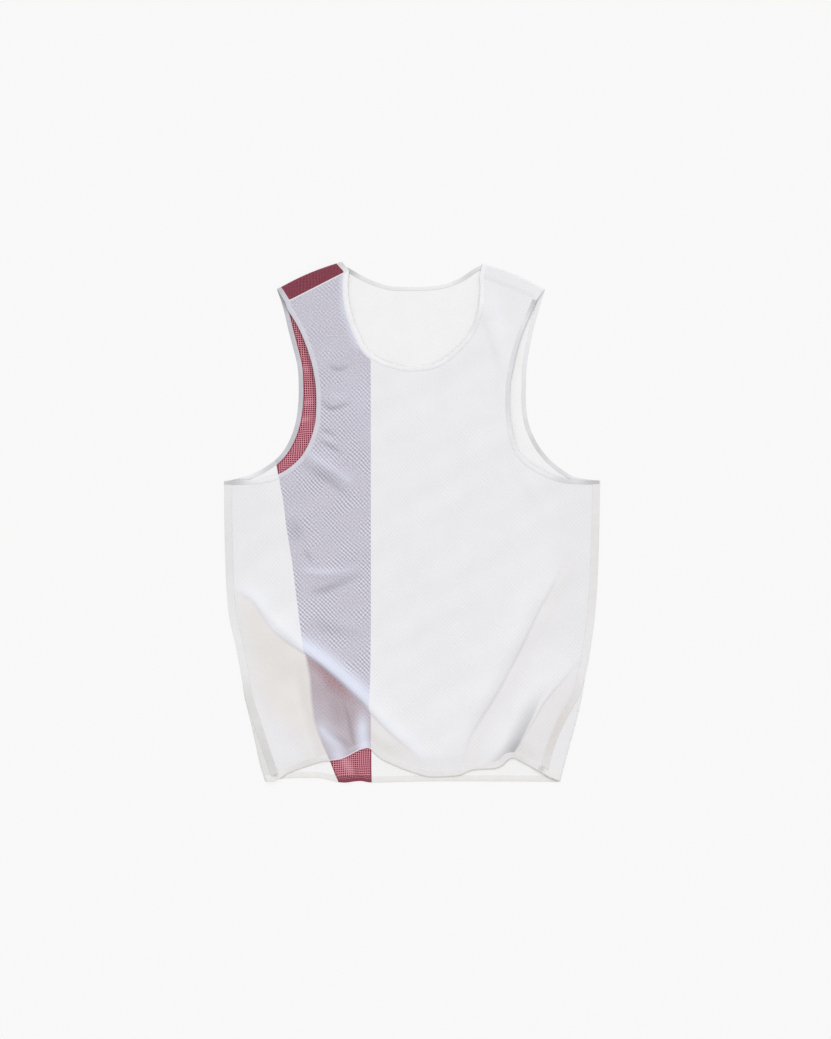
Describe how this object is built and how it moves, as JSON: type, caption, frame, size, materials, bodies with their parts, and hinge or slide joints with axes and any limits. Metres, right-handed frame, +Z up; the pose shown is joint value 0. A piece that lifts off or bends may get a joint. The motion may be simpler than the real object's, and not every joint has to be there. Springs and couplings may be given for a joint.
{
  "type": "running singlet",
  "caption": "Sleeveless running top in light mesh, laid flat with soft folds, with narrow bound neck and armholes and a hem folded up unevenly in front.",
  "frame": {"origin": "centre of the underside of the garment's box, on the surface that it lies on", "axes": "+X towards the wearer's left side, +Y from the hem to the neck, +Z up out of the front from the surface that the back lies on"},
  "size_m": [0.5025, 0.6937, 0.0133],
  "materials": {
    "mesh_cloth": "matte, fine open waffle mesh",
    "binding": "matte, smooth folded tape",
    "hem_band": "matte, turned and stitched mesh",
    "seam_strip": "matte, flat felled seam"
  },
  "bodies": {
    "root": {"back_panel": "mesh_cloth", "front_panel": "mesh_cloth", "neck_binding": "binding", "right_armhole_binding": "binding", "left_armhole_binding": "binding", "back_hem": "hem_band", "front_hem": "hem_band", "right_side_seam": "seam_strip", "left_side_seam": "seam_strip"}
  },
  "joints": []
}
